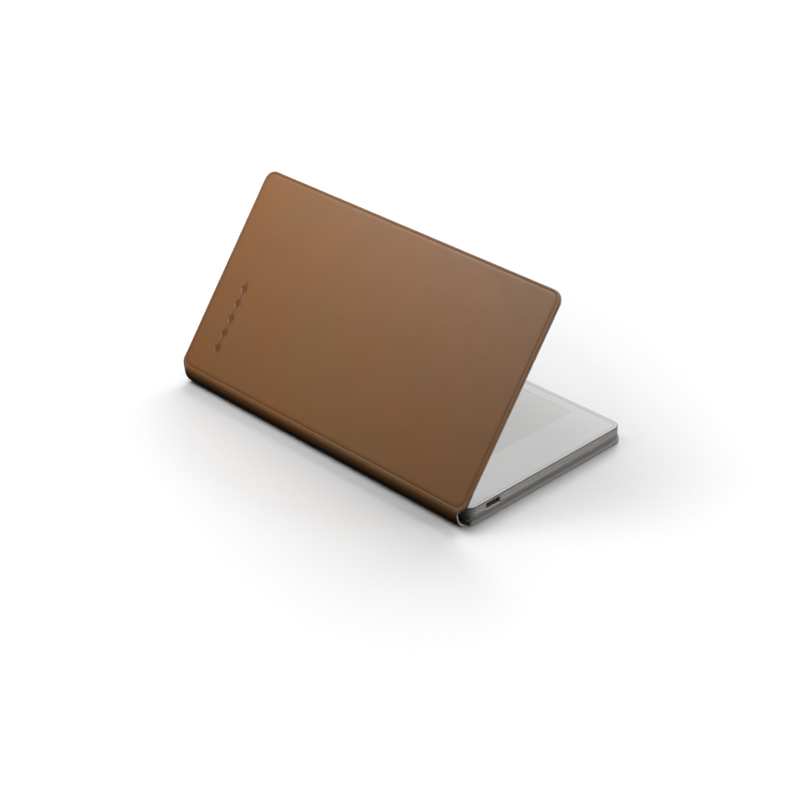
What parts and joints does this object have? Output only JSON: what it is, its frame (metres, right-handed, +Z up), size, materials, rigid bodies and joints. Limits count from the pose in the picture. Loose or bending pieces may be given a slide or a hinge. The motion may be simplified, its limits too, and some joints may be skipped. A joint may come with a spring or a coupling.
{
  "type": "e-reader",
  "caption": "Thin pocket e-paper reader held in a hinged leather book folio, standing part open to show the screen beneath the cover.",
  "frame": {"origin": "on the table, under the centre of the reader's outline", "axes": "+X from the folio's spine to its fore-edge, +Y along the spine to the reader's head, +Z up off the table"},
  "size_m": [0.1148, 0.1972, 0.0986],
  "materials": {
    "leather": "smooth satin, fine grain",
    "lining": "matt microfibre",
    "greyboard": "matt pressed board",
    "steel": "plated",
    "anodised_frame": "bead-blasted and anodised",
    "rear_shell": "fine texture",
    "rubber": "matt",
    "frosted_glass": "etched, light grey",
    "acrylic": "clear",
    "e_paper": "matt, off",
    "copper_film": "film with copper loops",
    "flexible_circuit": "amber film",
    "battery_foil": "laminated foil",
    "circuit_board": "solder mask",
    "tinned_steel": "satin",
    "epoxy": "moulded",
    "port_steel": "drawn"
  },
  "bodies": {
    "back_panel": {"back_cover_leather": "leather", "back_cover_board": "greyboard", "back_cover_lining": "lining", "folio_magnet_1": "steel", "folio_magnet_2": "steel", "folio_magnet_3": "steel", "folio_magnet_4": "steel"},
    "spine": {"spine_leather": "leather", "spine_lining": "lining"},
    "front_cover": {"front_cover_leather": "leather", "front_cover_board": "greyboard", "front_cover_lining": "lining", "cover_magnet_1": "steel", "cover_magnet_2": "steel"},
    "tablet": {"cover_glass": "frosted_glass", "front_light_guide": "acrylic", "front_light_strip": "flexible_circuit", "e_paper_panel": "e_paper", "pen_sensor_sheet": "copper_film", "mid_frame": "anodised_frame", "rear_cover": "rear_shell", "battery": "battery_foil", "main_board": "circuit_board", "shield_can_1": "tinned_steel", "shield_can_2": "tinned_steel", "processor": "epoxy", "memory": "epoxy", "hall_sensor": "epoxy", "usb_shell": "port_steel", "usb_tongue": "epoxy", "power_switch": "epoxy", "display_cable": "flexible_circuit", "battery_cable": "flexible_circuit", "wifi_antenna": "flexible_circuit", "board_screw_1": "steel", "board_screw_2": "steel", "board_screw_3": "steel", "board_screw_4": "steel", "foot_1": "rubber", "foot_2": "rubber", "foot_3": "rubber", "foot_4": "rubber", "reader_magnet_1": "steel", "reader_magnet_2": "steel", "reader_magnet_3": "steel", "reader_magnet_4": "steel", "pen_magnet_1": "steel", "pen_magnet_2": "steel"},
    "power_button": {"power_button": "anodised_frame"}
  },
  "joints": [
    {"name": "spine_hinge", "type": "hinge", "parent": "back_panel", "child": "spine", "pos_m": [-0.05515, 0, 0.0011], "axis": [0, -1, 0], "range_deg": [-27, 153]},
    {"name": "cover_hinge", "type": "hinge", "parent": "spine", "child": "front_cover", "pos_m": [-0.05924, 0, 0.00912], "axis": [0, -1, 0], "range_deg": [-27, 153]},
    {"name": "reader_slide", "type": "slide", "parent": "back_panel", "child": "tablet", "axis": [1, 0, 0], "range_m": [0, 0.115]},
    {"name": "button_press", "type": "slide", "parent": "tablet", "child": "power_button", "axis": [0, -1, 0], "range_m": [0, 0.0003]}
  ],
  "couplings": [
    {"joint": "cover_hinge", "follows": "spine_hinge", "ratio": 1}
  ]
}
